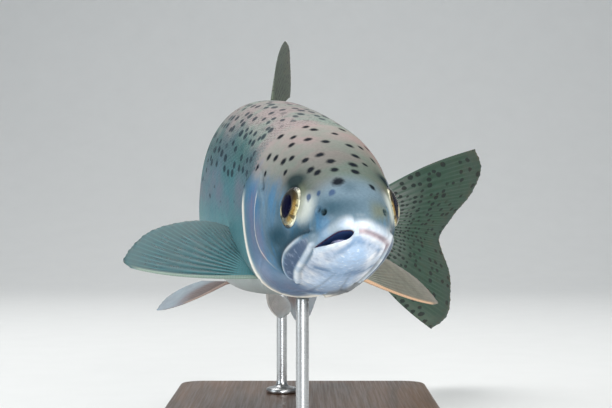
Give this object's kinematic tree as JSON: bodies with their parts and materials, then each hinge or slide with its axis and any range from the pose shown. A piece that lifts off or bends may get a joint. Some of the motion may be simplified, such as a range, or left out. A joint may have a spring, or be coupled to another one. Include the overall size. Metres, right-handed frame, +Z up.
{
  "type": "rainbow trout",
  "caption": "Life-size rainbow trout swimming in a gentle bend, its mouth a little open, held up by steel rods on a plain wooden display base.",
  "frame": {"origin": "middle of the display base's underside", "axes": "+Z up, the trout's snout points to -Y, and its own left side to +X"},
  "size_m": [0.2057, 0.4562, 0.216],
  "materials": {
    "skin": "wet satin skin with small scales, beige back, silver blue sides, dark spots and a pale belly",
    "fin": "thin translucent membrane over raised rays",
    "eye": "clear gloss over a golden iris and a black pupil",
    "mouth": "moist dark pink lining with pale teeth",
    "base_wood": "satin varnished dark walnut",
    "rod_steel": "brushed"
  },
  "bodies": {
    "root": {"head": "skin", "lower_jaw": "skin", "upper_jaw_plate_right": "skin", "upper_jaw_plate_left": "skin", "gill_cover_right": "skin", "gill_cover_left": "skin", "trunk_front": "skin", "trunk_middle": "skin", "trunk_rear": "skin", "tail_stem": "skin", "dorsal_fin": "fin", "adipose_fin": "fin", "anal_fin": "fin", "tail_fin": "fin", "pectoral_fin_right": "fin", "pectoral_fin_left": "fin", "pelvic_fin_right": "fin", "pelvic_fin_left": "fin", "eye_right": "eye", "eye_left": "eye", "stand_base": "base_wood", "stand_rod_front": "rod_steel", "stand_rod_rear": "rod_steel"}
  },
  "joints": []
}
